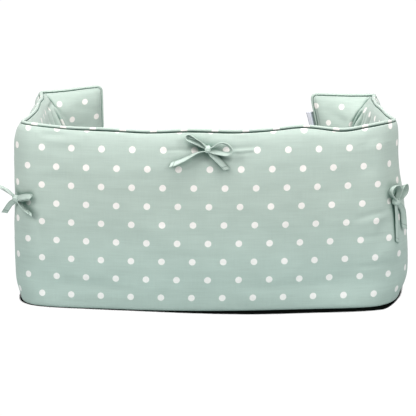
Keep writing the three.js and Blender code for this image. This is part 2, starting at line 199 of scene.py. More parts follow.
# The ties: each bow's knot, and its strands as places right of, above and out from the knot's middle.
BOWS = {
    "centre": dict(at=2.2, height=259.3),
    "left": dict(at=-288, height=172),
    "right": dict(at=290, height=167),
}
STRANDS = [
    dict(bow="centre", strand="loop_left", across=(0.05, -0.12, 1), twist=92, places=[
        (-3, 4, 5), (-10, 11, 7.5), (-19, 16.5, 9), (-27, 20.3, 9.5), (-31, 19.3, 9.5),
        (-30.5, 15.8, 9.5), (-24, 13, 9), (-13, 8.8, 7.5), (-3, 3.2, 5.5)]),
    dict(bow="centre", strand="loop_right", across=(0.0, 0.1, 1), twist=-65, places=[
        (3, 0.5, 5), (11, 6, 8), (20, 10, 10), (29, 8, 11.5), (34.5, 2.5, 12),
        (34, -3.5, 11.5), (27, -6, 11), (17, -4.5, 9), (3, -2, 5.5)]),
    dict(bow="centre", strand="tail_left", across=(0.1, 0.24, 1), twist=-46, places=[
        (-3, -3, 5), (-12, -3.5, 7), (-20, -6.5, 8.5), (-32, -13.5, 8.5), (-44, -19.5, 7), (-56, -24, 5)]),
    dict(bow="centre", strand="tail_right", across=(0.66, 0.66, -0.36), twist=0, places=[
        (2.5, -4, 4.4), (11, -12, 6), (20, -21, 6), (28.5, -31, 4.6)]),
    dict(bow="left", strand="loop_left", across=(0.8, 0.1, 0.6), twist=-40, places=[
        (-3, 3.5, 5), (-8, 11.5, 12.5), (-11, 15, 18), (-13, 17, 22), (-14, 16.8, 25.5),
        (-14, 14.3, 25.5), (-12.5, 13.2, 22), (-10, 10.2, 16), (-3.5, 1.5, 6)]),
    dict(bow="left", strand="loop_right", across=(0, 1, 0), twist=0, places=[
        (2.5, 1, 5.5), (8, 4.5, 9.5), (14, 7.5, 11), (19, 8, 9.5), (18, 5, 6.5), (11, 1.5, 4.8),
        (3, -0.5, 3.8)]),
    dict(bow="left", strand="tail_left", across=(-0.6, 0.1, 0.67), twist=0, places=[
        (-2.5, -2.5, 4.5), (-6.6, -10, 10), (-8.5, -17.5, 14), (-11, -25, 17)]),
    dict(bow="left", strand="tail_right", across=(0.65, -0.15, 0.72), twist=0, places=[
        (2.5, -3.5, 4.6), (8, -9.5, 5.6), (13, -16, 5.8), (18.5, -22, 4.8)]),
    dict(bow="right", strand="loop_left", across=(-0.1, -0.35, 0.93), twist=0, places=[
        (-1.5, 2, 5.5), (-6, 8, 6.5), (-11, 17, 8), (-9, 24, 8.5), (0, 25.5, 8.5), (4, 16, 8), (0, 3.5, 6)]),
    dict(bow="right", strand="loop_right", across=(-0.5, 0.2, 0.8), twist=0, places=[
        (1.5, 3.5, 5.5), (6, 13, 8.5), (9, 20, 11), (12, 24, 13.5), (16, 21, 13.5), (15, 12, 11),
        (4, 2, 5.5)]),
    dict(bow="right", strand="tail_left", across=(1, 0, -0.15), twist=0, places=[
        (-1, -3.5, 4), (0, -20, 3.4), (0.5, -42, 3), (1, -66, 2.2)]),
    dict(bow="right", strand="tail_right", across=(0.8, 0, 0.5), twist=0, places=[
        (3, -3.5, 5), (10, -15, 6), (12, -28, 5.5), (12.5, -46, 5.2)]),
]


# -------- The strip's shape --------
def bell(distance, reach):
    return np.exp(-((distance / reach) ** 2))


def swell(share):
    return np.sqrt(1 - (1 - np.clip(share, 0, 1)) ** 2)


def smooth(low, high, value):
    share = np.clip((value - low) / (high - low), 0, 1)
    return share * share * (3 - 2 * share)


def walk(runs, along):
    """Point and heading on the middle line, walked outwards from the middle of the long panel."""
    x, y, heading = np.zeros_like(along), np.zeros_like(along), np.zeros_like(along)
    start = 0
    for row in runs:
        if row["run"] == "fold":
            heading = heading + math.radians(row["turn"]) * (along > start)
            continue
        last = row["run"] == "flap"
        length = np.maximum(along - start, 0) if last else np.clip(along - start, 0, row["length"])
        turn = math.radians(row["turn"]) * length / row["length"]
        if row["turn"]:
            radius = row["length"] / math.radians(row["turn"])
            x = x + radius * (np.sin(heading + turn) - np.sin(heading))
            y = y + radius * (np.cos(heading) - np.cos(heading + turn))
        else:
            x = x + length * np.cos(heading)
            y = y + length * np.sin(heading)
        heading = heading + turn
        start += row["length"]
    return x, y, heading


def settled(along, offset, height):
    """Offset of a point after the filling has moved and the strip has leaned."""
    near = lambda row: bell(along - row["at"], row["reach"]) * bell(height - row["height"], row["tall"])
    grow = sum(row["grow"] * near(row) * ((offset < 0) == (row["face"] == "inner")) for row in BUNCHES)
    return offset * (1 + grow) + sum(row["out"] * near(row) for row in LEANS)


def drawn_in(along, height):
    """Length along the strip after the right flap has been drawn in towards its fold."""
    share = np.maximum(0, (along - RIGHT_FOLD) / (RIGHT_END - RIGHT_FOLD))
    below = 1 - smooth(END_SLACK_LOW, END_SLACK_HIGH, height)
    above = smooth(-END_SLACK_FOOT / 4, END_SLACK_FOOT, height)
    return along - END_SLACK * share * below * above


def foot_point(runs, past, offset):
    """Distance from a fold of the point on the middle line that a point beside it is square to."""
    half_turn = math.radians(runs[3]["turn"]) / 2
    beside = (past > -runs[2]["length"]) & (offset < 0)
    pushed = np.where(beside, np.hypot(past, offset * math.tan(half_turn)), np.abs(past))
    return np.where(past > 0, pushed, -pushed)


def place(length, offset, height):
    """Place in the world of points of the strip: length along it, offset outwards, and height."""
    length, offset, height = np.broadcast_arrays(*(np.asarray(v, float) for v in (length, offset, height)))
    along = drawn_in(length, height)
    out = settled(along, offset, height)
    found = np.empty(along.shape + (3,))
    for runs, mirror, here in ((PLAN["left"], -1, along < 0), (PLAN["right"], 1, along >= 0)):
        fold = sum(row["length"] for row in runs[:3])
        half_turn = math.radians(runs[3]["turn"]) / 2
        past = np.abs(along[here]) - fold
        w = out[here]
        moved = foot_point(runs, past, w)
        x, y, heading = walk(runs, fold + moved)
        fan = np.where(w > 0, half_turn * np.clip(1 - np.abs(past) / FOLD_ROUND, 0, None), 0)
        heading = heading + np.where(moved > 0, -fan, fan)
        across, back = mirror * (x + w * np.sin(heading)), y - w * np.cos(heading)
        found[here] = np.stack([across, back, height[here]], -1)
    return found


def from_end(along):
    return np.minimum(along - LEFT_END, RIGHT_END - along)


def seam_height(along):
    rise = sum(row["rise"] * bell(along - row["at"], row["reach"]) for row in WAVES)
    return SEAM_HEIGHT + rise - END_CORNER * (1 - swell(from_end(along) / END_CORNER))


def half_thickness(along, height):
    foot = FOOT_WIDTH / PAD_THICKNESS
    opened = foot + (1 - foot) * swell(height / FOOT_DRAW)
    closed = swell((seam_height(along) - height) / TOP_DRAW) * swell(from_end(along) / END_DRAW)
    return SEAM_WIDTH / 2 + ((PAD_THICKNESS - SEAM_WIDTH) / 2) * opened * closed


def on_face(bow, spot):
    """Place of a spot near a bow's knot, measured right, up and out from the pad's outer face."""
    along, height = bow["at"] + spot[0], bow["height"] + spot[1]
    return place(along, half_thickness(along, height) + spot[2], height)


# -------- Making meshes --------
def cloudy(points, scale, seed=0):
    """Smooth noise from -1 to 1 at points, with features about scale across."""
    shift = Vector((seed * 7.3, seed * 3.1, seed * 5.7))
    flat = np.reshape(points, (-1, 3))
    return np.array([noise.noise(Vector(point) / scale + shift) for point in flat]).reshape(points.shape[:-1])


def loft(name, rings, ring_uv, capped=True, shade=None):
    """A closed mesh through rings of points. ring_uv(i, k, strip) gives the cloth coordinates at point k
    of ring i for the faces of one strip, and shade how deep each point lies in a seam, from 0 to 1."""
    count, sides = rings.shape[:2]
    mesh = bpy.data.meshes.new(name)
    faces, corners = [], []
    for i in range(count - 1):
        for k in range(sides):
            n = (k + 1) % sides
            faces.append((i * sides + k, (i + 1) * sides + k, (i + 1) * sides + n, i * sides + n))
            corners += [(i, k, k), (i + 1, k, k), (i + 1, n, k), (i, n, k)]
    if capped:
        for i, turned in ((0, False), (count - 1, True)):
            for k in range(sides // 2 - 1):
                a, b, c, d = k, k + 1, sides - 2 - k, sides - 1 - k
                face = (a, b, c, d) if not turned else (d, c, b, a)
                faces.append(tuple(i * sides + v for v in face))
                corners += [(i, v, v) for v in face]
    mesh.from_pydata([tuple(p) for p in rings.reshape(-1, 3) * MM], [], faces)
    layer = mesh.uv_layers.new(name="cloth")
    layer.data.foreach_set("uv", np.array([ring_uv(*c) for c in corners], float).ravel())
    for polygon in mesh.polygons:
        polygon.use_smooth = True
    depth = mesh.attributes.new("shade", "FLOAT", "POINT")
    depth.data.foreach_set("value", np.zeros(count * sides) if shade is None else np.ravel(shade))
    mesh.validate()
    obj = bpy.data.objects.new(name, mesh)
    bpy.context.collection.objects.link(obj)
    return obj


def face_outwards(obj):
    shape = bmesh.new()
    shape.from_mesh(obj.data)
    bmesh.ops.recalc_face_normals(shape, faces=shape.faces)
    shape.to_mesh(obj.data)
    shape.free()


# -------- Materials --------
def new_group(name, inputs, outputs):
    group = bpy.data.node_groups.new(name, "ShaderNodeTree")
    for label, kind, value in inputs:
        socket = group.interface.new_socket(name=label, in_out="INPUT", socket_type=kind)
        if value is not None:
            socket.default_value = value
    for label, kind in outputs:
        group.interface.new_socket(name=label, in_out="OUTPUT", socket_type=kind)
    return group, group.nodes.new("NodeGroupInput"), group.nodes.new("NodeGroupOutput")


class Bench:
    """Short ways to add nodes to one tree."""

    def __init__(self, tree):
        self.tree = tree

    def add(self, kind, **settings):
        node = self.tree.nodes.new(kind)
        for key, value in settings.items():
            setattr(node, key, value)
        return node

    def put(self, socket, value):
        if isinstance(value, bpy.types.NodeSocket):
            self.tree.links.new(value, socket)
        else:
            socket.default_value = value

    def fill(self, node, **values):
        for label, value in values.items():
            self.put(node.inputs[label.replace("_", " ")], value)
        return node

    def split(self, vector):
        return self.fill(self.add("ShaderNodeSeparateXYZ"), Vector=vector).outputs

    def math(self, operation, *values):
        node = self.add("ShaderNodeMath", operation=operation)
        for socket, value in zip(node.inputs, values):
            self.put(socket, value)
        return node.outputs[0]

    def noise(self, vector, scale, detail=2.0, rough=0.5):
        node = self.add("ShaderNodeTexNoise")
        return self.fill(node, Vector=vector, Scale=scale, Detail=detail, Roughness=rough).outputs["Fac"]

    def stretch(self, vector, scale):
        return self.fill(self.add("ShaderNodeMapping"), Vector=vector, Scale=scale).outputs[0]

    def ramp(self, value, low, high, to_low=0.0, to_high=1.0, kind="SMOOTHSTEP"):
        node = self.add("ShaderNodeMapRange", interpolation_type=kind)
        ends = dict(From_Min=low, From_Max=high, To_Min=to_low, To_Max=to_high)
        return self.fill(node, Value=value, **ends).outputs[0]

    def mix(self, share, first, second, blend="MIX"):
        node = self.add("ShaderNodeMix", data_type="RGBA", blend_type=blend)
        self.put(node.inputs[0], share)
        self.put(node.inputs[6], first)
        self.put(node.inputs[7], second)
        return node.outputs[2]


SLANT_LEVEL = 0.14  # height about which the columns of dots lean
DOT_RAGGED, DOT_SOFT = 0.0007, 0.0003  # how ragged and how soft a dot's edge is


def dots_group():
    """Round dots in a half-drop repeat: rows of pitch across, every second row shifted by half of it."""
    group, given, result = new_group(
        "Half-drop dots",
        [("Vector", "NodeSocketVector", None), ("Across", "NodeSocketFloat", 0.048),
         ("Drop", "NodeSocketFloat", 0.05855), ("First Across", "NodeSocketFloat", 0.0269),
         ("First Up", "NodeSocketFloat", 0.0235), ("Slant", "NodeSocketFloat", 0.025),
         ("Radius", "NodeSocketFloat", 0.0054)],
        [("Mask", "NodeSocketFloat")],
    )
    b = Bench(group)
    x_in, y_in, _ = b.split(given.outputs["Vector"])
    across, drop = given.outputs["Across"], given.outputs["Drop"]
    up = b.math("SUBTRACT", y_in, given.outputs["First Up"])
    leaned = b.math("MULTIPLY", b.math("SUBTRACT", y_in, SLANT_LEVEL), given.outputs["Slant"])
    along = b.math("SUBTRACT", b.math("SUBTRACT", x_in, given.outputs["First Across"]), leaned)
    half_across, half_drop = b.math("MULTIPLY", across, 0.5), b.math("MULTIPLY", drop, 0.5)
    distances = []
    for shift in (0, 1):
        x = b.math("SUBTRACT", along, b.math("MULTIPLY", half_across, float(shift)))
        y = b.math("SUBTRACT", up, b.math("MULTIPLY", half_drop, float(shift)))
        x = b.math("WRAP", x, half_across, b.math("MULTIPLY", half_across, -1.0))
        y = b.math("WRAP", y, half_drop, b.math("MULTIPLY", half_drop, -1.0))
        squares = b.math("ADD", b.math("MULTIPLY", x, x), b.math("MULTIPLY", y, y))
        distances.append(b.math("SQRT", squares))
    near = b.math("MINIMUM", *distances)
    ragged = b.noise(given.outputs["Vector"], 900.0, 2.0)
    near = b.math("ADD", near, b.math("MULTIPLY", b.math("SUBTRACT", ragged, 0.5), DOT_RAGGED))
    inner = b.math("SUBTRACT", given.outputs["Radius"], DOT_SOFT)
    outer = b.math("ADD", given.outputs["Radius"], DOT_SOFT)
    b.put(result.inputs[0], b.ramp(near, inner, outer, 1.0, 0.0))
    return group


def cotton_group():
    """Plain woven cotton with uneven threads: a tint for the colour, a height for the bump."""
    group, given, result = new_group(
        "Woven cotton",
        [("Vector", "NodeSocketVector", None), ("Colour", "NodeSocketColor", (0.5, 0.5, 0.5, 1)),
         ("Slubs", "NodeSocketFloat", 1.0), ("Thread", "NodeSocketFloat", 0.0006)],
        [("Colour", "NodeSocketColor"), ("Height", "NodeSocketFloat"), ("Roughness", "NodeSocketFloat")],
    )
    b = Bench(group)
    vector = given.outputs["Vector"]
    weft = b.noise(b.stretch(vector, (26, 620, 1)), 1.0, 3.0, 0.6)
    warp = b.noise(b.stretch(vector, (620, 30, 1)), 1.0, 3.0, 0.6)
    broad = b.noise(b.stretch(vector, (5, 90, 1)), 1.0, 2.0, 0.6)
    patch = b.noise(vector, 9.0, 3.0, 0.55)
    slub = b.math("MULTIPLY", b.math("SUBTRACT", warp, 0.5), 0.55)
    slub = b.math("ADD", b.math("SUBTRACT", weft, 0.5), slub)
    slub = b.math("ADD", slub, b.math("MULTIPLY", b.math("SUBTRACT", broad, 0.5), 0.7))
    tone = b.math("MULTIPLY", b.math("MULTIPLY", slub, given.outputs["Slubs"]), 0.15)
    tone = b.math("ADD", tone, b.math("MULTIPLY", b.math("SUBTRACT", patch, 0.5), 0.16))
    tone = b.math("ADD", tone, 1.0)
    scaled = b.add("ShaderNodeVectorMath", operation="SCALE")
    b.fill(scaled, Vector=given.outputs["Colour"], Scale=tone)
    b.put(result.inputs["Colour"], scaled.outputs[0])
    x, y, _ = b.split(vector)
    turns = b.math("DIVIDE", math.pi, given.outputs["Thread"])
    wander = b.math("MULTIPLY", b.noise(vector, 260.0, 1.0), 9.0)
    over = b.math("SINE", b.math("ADD", b.math("MULTIPLY", x, turns), wander))
    under = b.math("SINE", b.math("SUBTRACT", b.math("MULTIPLY", y, turns), wander))
    weave = b.math("MULTIPLY", over, under)
    height = b.math("ADD", b.math("MULTIPLY", weave, 0.25), b.math("MULTIPLY", slub, 0.9))
    b.put(result.inputs["Height"], height)
    b.put(result.inputs["Roughness"], b.math("ADD", b.math("MULTIPLY", slub, 0.08), 0.88))
    return group


DOTS = dots_group()
COTTON = cotton_group()
FABRIC = (0.458, 0.54, 0.486, 1)
PRINT = (0.9, 0.845, 0.81, 1)


def use(bench, group, **values):
    return bench.fill(bench.add("ShaderNodeGroup", node_tree=group), **values)


SEAM_SHADE = (0.006, 0.036, 0.025, 1)
CLOSE_SHADE = (0.045, 0.14, 0.1, 1)
SHADE_REACH = 0.014  # how near other cloth must be to shade it
FOOT_PAINTED_SHADE = (0.92, 0.97, 0.985, 1)
FOOT_SHADE_FROM, FOOT_SHADE_TO = 0.2, 0.03  # heights between which the painted shade at the foot comes in


def cloth_material(name, colour, dots=None, slubs=1.0, bump=0.25, sheen=0.2, closeness=0.85, stripes=()):
    """A cotton material; dots gives the values of the dot repeat, and stripes gives woven stripes as
    their start and end across the cloth and their colour."""
    material = bpy.data.materials.new(name)
    material.use_nodes = True
    b = Bench(material.node_tree)
    shader = material.node_tree.nodes["Principled BSDF"]
    uv = b.add("ShaderNodeUVMap", uv_map="cloth").outputs[0]
    base = colour
    if dots is not None:
        mask = use(b, DOTS, Vector=uv, **dots).outputs["Mask"]
        base = b.mix(mask, colour, PRINT)
    for low, high, tint in stripes:
        side = b.math("ABSOLUTE", b.math("SUBTRACT", b.split(uv)[0], (low + high) / 2))
        base = b.mix(b.ramp(side, (high - low) / 2, (high - low) / 2 - 0.0004), base, tint)
    # Painted shade: the cloth is painted a little darker and cooler towards the foot.
    height = b.split(b.add("ShaderNodeTexCoord").outputs["Object"])[2]
    low = b.ramp(height, FOOT_SHADE_FROM, FOOT_SHADE_TO)
    base = b.mix(low, base, FOOT_PAINTED_SHADE, "MULTIPLY")
    # Painted shade: cloth close against cloth is painted in green shade, and pinched seams and creases are
    # painted darker still.
    close = b.add("ShaderNodeAmbientOcclusion", samples=12)
    close.inputs["Distance"].default_value = SHADE_REACH
    above_table = b.ramp(height, 0.008, 0.03, 0.0, closeness)
    shut = b.ramp(close.outputs["AO"], 0.93, 0.4, 0.0, above_table, "LINEAR")
    base = b.mix(shut, base, CLOSE_SHADE)
    depth = b.add("ShaderNodeAttribute", attribute_name="shade").outputs["Fac"]
    base = b.mix(depth, base, SEAM_SHADE)
    cotton = use(b, COTTON, Vector=uv, Colour=base, Slubs=slubs)
    b.put(shader.inputs["Base Color"], cotton.outputs["Colour"])
    b.put(shader.inputs["Roughness"], cotton.outputs["Roughness"])
    shader.inputs["Sheen Weight"].default_value = sheen
    shader.inputs["Sheen Roughness"].default_value = 0.45
    shader.inputs["Specular IOR Level"].default_value = 0.2
    lift = b.add("ShaderNodeBump")
    lift.inputs["Strength"].default_value = bump
    lift.inputs["Distance"].default_value = 0.0003
    b.put(lift.inputs["Height"], cotton.outputs["Height"])
    b.put(shader.inputs["Normal"], lift.outputs[0])
    return material


# -------- The pad --------
PAD_STEP = 3.2  # spacing of the pad's sections
DITCH_DEPTH = 4  # how far the two faces turn down beside the seam
END_STEPS = [0, 0.3, 0.8, 1.6, 2.8, 4.5, 6.5, 9, 12, 15, 19, 24, 30]
FOLD_STEPS = [0, 0.8, 1.8, 3, 4.5, 6, 8, 10.5, 13.5, 17]


def pad_stations():
    found = []
    for low, high in ((LEFT_END, LEFT_FOLD), (LEFT_FOLD, RIGHT_FOLD), (RIGHT_FOLD, RIGHT_END)):
        for edge, side in ((low, 1), (high, -1)):
            steps = END_STEPS if edge in (LEFT_END, RIGHT_END) else FOLD_STEPS
            found += [edge + side * step for step in steps]
        start = low + (END_STEPS if low == LEFT_END else FOLD_STEPS)[-1]
        stop = high - (END_STEPS if high == RIGHT_END else FOLD_STEPS)[-1]
        count = round((stop - start) / PAD_STEP)
        found += [start + (stop - start) * k / count for k in range(1, count)]
    return np.unique(np.round(found, 4))


GAPS = [  # where the gap beside the piping opens, on the outer face
    dict(at=-150, reach=45, wider=0.3),
    dict(at=-2, reach=60, wider=0.6),
    dict(at=214, reach=30, wider=0.6),
    dict(at=262, reach=14, wider=0.2),
]


GAP_WIDTH = 0.6  # usual width of the gap beside the piping
FRONT_OPENS, FRONT_SHUTS = (-262, -185), (288, 312)  # where the seam of the long panel opens and shuts
SHUT_SHARE = 0.12  # how open the outer seam stays elsewhere
TAB_SHARE = 0.5  # how open the inner seam is beside the tab


def open_seam(along, face):
    """How far the seam beside the piping gapes, from 0 to 1: widest along the front."""
    if face == "inner":
        return TAB_SHARE * smooth(RIGHT_END - 6, RIGHT_END - 1, along)
    front = smooth(*FRONT_OPENS, along) * (1 - smooth(*FRONT_SHUTS, along))
    return SHUT_SHARE + (1 - SHUT_SHARE) * front


def groove(along, face):
    """Width of the gap between the piping and the rounded top edge of a face."""
    wider = sum(row["wider"] * bell(along - row["at"], row["reach"]) for row in GAPS)
    return (GAP_WIDTH + wider) * open_seam(along, face)


FULLNESS = [  # unevenness of the filling: how far it moves a face, over what length, and its own seed
    dict(out=1.1, across=75, seed=3),
    dict(out=0.5, across=26, seed=5),
]
PUCKER = 7  # length of the small puckers
SEAM_PUCKER, FOOT_PUCKER = 0.6, 0.45  # how far they stand out beside the seam and at the foot
CRUMPLE = 0.9
CRUMPLES = [  # the crumpled cloth of the sides, just before each far fold
    dict(at=LEFT_FOLD + 55, reach=60, more=1),
    dict(at=RIGHT_FOLD - 60, reach=75, more=1.4),
]
KNOT_DIP, KNOT_DIP_REACH = 2.0, 12  # each tie is sewn down, so the face dips under its knot
FACES_APART = 500.0  # keeps the unevenness of the two faces from being the same
LEFT_LEE, RIGHT_LEE = 0.25, 0.1  # painted shade of the two flaps' inner faces


def relief(along, height, face):
    """Fullness and creases of a face: how far it stands out, and how dark it lies in the creases."""
    along, height = np.broadcast_arrays(along, height)
    below = seam_height(along) - height
    spots = np.stack([along, height * 1.4, np.full(along.shape, 0.0 if face == "outer" else FACES_APART)], -1)
    total = sum(row["out"] * cloudy(spots, row["across"], row["seed"]) for row in FULLNESS)
    # Small puckers along the seam and the foot, and crumpled cloth inside the two folds.
    ripple = cloudy(np.stack([along, height * 0.25, spots[..., 2]], -1), PUCKER, 9)
    total += ripple * (SEAM_PUCKER * bell(below - 5, 9) + FOOT_PUCKER * bell(height - 6, 9))
    if face == "inner":
        crumpled = sum(row["more"] * bell(along - row["at"], row["reach"]) for row in CRUMPLES)
        total += crumpled * CRUMPLE * cloudy(np.stack([along, height * 0.5, spots[..., 2]], -1), 11, 13)
    on_left = smooth(LEFT_FOLD + 2, LEFT_FOLD - 6, along)
    on_right = smooth(RIGHT_FOLD - 2, RIGHT_FOLD + 6, along)
    dark = LEFT_LEE * on_left + RIGHT_LEE * on_right
    dark = dark * smooth(296, 235, height) * (face == "inner")
    for row in OUTER_CREASES if face == "outer" else INNER_CREASES:
        (x0, z0), (x1, z1) = row["start"], row["stop"]
        dx, dz = x1 - x0, z1 - z0
        share = np.clip(((along - x0) * dx + (height - z0) * dz) / (dx * dx + dz * dz), 0, 1)
        away = np.hypot(along - x0 - share * dx, height - z0 - share * dz)
        faded = np.sqrt(1 - (2 * share - 1) ** 2)
        total += row["out"] * faded * bell(away, row["wide"])
        dark = np.maximum(dark, row.get("shade", 0) * faded * bell(away, 0.7 * row["wide"]))
    if face == "outer":
        for bow in BOWS.values():
            beside = bell(along - bow["at"], KNOT_DIP_REACH)
            total -= KNOT_DIP * beside * bell(height - bow["height"], KNOT_DIP_REACH)
    return total * smooth(1.5, 9, below) * smooth(0, 6, height), dark


def pad_profile():
    """Steps up a face, as shares of the way up, closest together at the foot and at the seam."""
    low = [0, 0.0015, 0.005, 0.011, 0.02, 0.032]
    high = [0.94, 0.952, 0.963, 0.973, 0.981, 0.988, 0.9935]
    middle = list(np.linspace(low[-1], 0.86, 66)[1:]) + list(np.linspace(0.86, high[0], 14)[1:-1])
    return np.array(low + middle + high)


LIP = [  # how a face turns down beside the seam: share of its width there, drop, and how deep in shade
    dict(width=0.86, drop=0.0, shade=0.0),
    dict(width=0.6, drop=0.1, shade=0.2),
    dict(width=0.4, drop=0.5, shade=0.85),
    dict(width=0.26, drop=1.6, shade=1.0),
    dict(width=0.16, drop=DITCH_DEPTH, shade=1.0),
]
INNER_START = 21.5  # where the cloth starts along the inner face, and on each flap
FLAP_CLOTH = {  # stretch is below 1 where the dots lie further apart; slant leans the rows from turn down
    "left": dict(fold=LEFT_FOLD, start=8.3, stretch=0.906, slant=0.1, turn=270),
    "right": dict(fold=RIGHT_FOLD, start=-0.6, stretch=1, slant=0.14, turn=269),
}
ROWS_DOWN = 12.1  # how much higher the rows of dots lie on the inner face
INNER_APART = 1000  # keeps the inner face's cloth clear of the outer face's


def inner_cloth(along, offset, height):
    """Cloth coordinates of the inner face: length along the strip and height, anew on each panel."""
    out = settled(along, offset, height)
    length = np.array(np.broadcast_to(along, out.shape), float)
    for runs, mirror in ((PLAN["left"], -1), (PLAN["right"], 1)):
        fold = sum(row["length"] for row in runs[:3])
        past = mirror * length - fold
        near = past > -runs[2]["length"] / 2
        length = np.where(near, mirror * (fold + foot_point(runs, past, out)), length)
    across = INNER_START - length
    for side, on_flap in (("left", length < LEFT_FOLD), ("right", length > RIGHT_FOLD)):
        row = FLAP_CLOTH[side]
        lies = (row["fold"] - length) * row["stretch"] + row["start"] + (row["turn"] - height) * row["slant"]
        across = np.where(on_flap, lies, across)
    return across, height - ROWS_DOWN


FOOT_TUCK, FOOT_TUCK_TALL = 3.2, 4.0  # how far and how high the faces are rounded in at the foot
END_FADE = 6  # length at a free end over which the fullness dies away
LEAST_GAPE = {"outer": 0.25, "inner": 0.12}
RIGHT_EASE, RIGHT_EASE_FROM = 0.03, 185  # the cloth is eased in round the right corner
LOW_EASE = dict(shift=1.5, height=50, tall=32, start=-60, stop=60)


def make_pad():
    along = pad_stations()
    shares = pad_profile()
    ends = swell(from_end(along)[:, None] / END_FADE)
    faces = {}
    for face, sign in (("outer", 1), ("inner", -1)):
        edge = (seam_height(along) - groove(along, face))[:, None]
        height = edge * shares[None, :]
        tuck = FOOT_TUCK * (1 - swell(height / FOOT_TUCK_TALL)) * ends
        stands, dark = relief(along[:, None], height, face)
        full = half_thickness(along[:, None], height) - tuck + stands * ends
        lip_wide = full[:, -1:] * np.array([row["width"] for row in LIP])
        least = LEAST_GAPE[face]
        gape = least + (1 - least) * open_seam(along, face)[:, None]
        lip_height = edge - np.array([row["drop"] for row in LIP]) * gape * (0.25 + 0.75 * ends)
        w = sign * np.concatenate([full, lip_wide], 1)
        z = np.concatenate([height, lip_height], 1)
        dark = np.concatenate([dark, gape * np.array([row["shade"] for row in LIP])], 1)
        faces[face] = (w, z, place(along[:, None], w, z), dark)
    outer_points, inner_points = faces["outer"][2], faces["inner"][2][:, ::-1]
    rings = np.concatenate([outer_points, inner_points], 1)
    levels = outer_points.shape[1]
    shade = np.concatenate([faces["outer"][3], faces["inner"][3][:, ::-1]], 1)
    # Cloth coordinates of the outer face: its length at each height, and height.
    run = np.cumsum(np.linalg.norm(np.diff(outer_points, axis=0, prepend=outer_points[:1]), axis=2), axis=0)
    middle = int(np.argmin(np.abs(along)))
    outer_u = run - run[middle] + along[middle]
    outer_u = outer_u - RIGHT_EASE * np.maximum(0, outer_u - RIGHT_EASE_FROM)
    outer_z = faces["outer"][1]
    low = bell(outer_z - LOW_EASE["height"], LOW_EASE["tall"])
    outer_u = outer_u - LOW_EASE["shift"] * low * smooth(LOW_EASE["start"], LOW_EASE["stop"], outer_u)
    inner_u, inner_v = (part[:, ::-1] for part in inner_cloth(along[:, None], *faces["inner"][:2]))

    def cloth(i, k, strip):
        if strip == 2 * levels - 1:
            return outer_u[i, 0] * MM, (0.0 if k == 0 else -FOOT_WIDTH * MM)
        if strip < levels:
            k = min(k, levels - 1)
            return outer_u[i, k] * MM, outer_z[i, k] * MM
        return (inner_u[i, k - levels] + INNER_APART) * MM, inner_v[i, k - levels] * MM

    return loft("pad_cover", rings, cloth, shade=shade)


# -------- The piping --------
PIPING_SIDES = 16
PIPING_RISE = 84  # sections up each free end
PIPING_OUT = 2.2  # how far its middle lies past the seam
PIPING_TAIL = 2.6  # depth of its sewn edge in the gap
PIPING_SWELL = 0.94  # its radius here against the solid's, before it swells and thins by 5%
PIPING_WANDER = 0.35
PIPING_GIRTH = 16  # cloth round it


def piping_line():
    """Sections of the piping: length along the strip, height, and the direction away from the seam."""
    along = pad_stations()
    line = []
    for end, order in ((LEFT_END, 1), (RIGHT_END, -1)):
        top = float(seam_height(np.array(float(end))))
        rise = [(end, z, 0.0) for z in np.linspace(PIPING_START, top, PIPING_RISE)[:-1]]
        line.append(rise[::order])
    gone = from_end(along)
    turn = np.arccos(np.clip(1 - gone / END_CORNER, 0, 1))
    arch = list(zip(along, seam_height(along), turn))
    return line[0] + arch + line[1]


def make_piping():
    rings, shade = [], []
    line = piping_line()
    for s, z, angle in line:
        side = math.copysign(math.cos(angle), s)
        gap = float(groove(s, "outer"))
        gapes = {side: 0.06 + 0.94 * float(open_seam(s, side)) for side in ("outer", "inner")}
        wander = PIPING_WANDER * noise.noise(Vector((s / 16, z / 16, 2.0)))
        swollen = PIPING_SWELL * PIPING_RADIUS * (1 + 0.05 * noise.noise(Vector((s / 9, z / 9, 7.0))))
        ring = []
        for k in range(PIPING_SIDES):
            around = 2 * math.pi * k / PIPING_SIDES
            away = PIPING_OUT + swollen * math.cos(around)
            w = wander - swollen * math.sin(around)
            # Painted shade on the underside of the piping, deeper where the seam beside it gapes.
            under = smooth(0.5, 0.95, -math.cos(around)) * gapes["outer" if w > 0 else "inner"]
            if math.cos(around) < -0.8:
                away -= PIPING_TAIL + gap
                w *= 0.9
            shade.append(float(under))
            ring.append((s + side * away, w, z + math.sin(angle) * away))
        rings.append(ring)
    rings = np.array(rings)
    rings = place(rings[..., 0], rings[..., 1], rings[..., 2])
    centre = rings.mean(1)
    run = np.concatenate([[0], np.cumsum(np.linalg.norm(np.diff(centre, axis=0), axis=1))])
    run = run - run[int(np.argmin([abs(row[0]) for row in line]))]

    def cloth(i, k, strip):
        turn = strip + (1 if k != strip else 0)
        return run[i] * MM, turn / PIPING_SIDES * PIPING_GIRTH * MM

    return loft("piping_cord", rings, cloth, shade=shade)


# -------- The ties --------
def catmull(points, count):
    found = []
    last = len(points) - 1
    for step in range(count + 1):
        t = step / count * last
        i = min(int(t), last - 1)
        f = t - i
        p1, p2 = points[i], points[i + 1]
        p0 = points[i - 1] if i else 2 * p1 - p2
        p3 = points[i + 2] if i + 2 <= last else 2 * p2 - p1
        found.append(0.5 * (2 * p1 + (p2 - p0) * f + (2 * p0 - 5 * p1 + 4 * p2 - p3) * f * f
                            + (3 * p1 - p0 - 3 * p2 + p3) * f ** 3))
    return np.array(found)


def unit(vector):
    return vector / np.linalg.norm(vector)


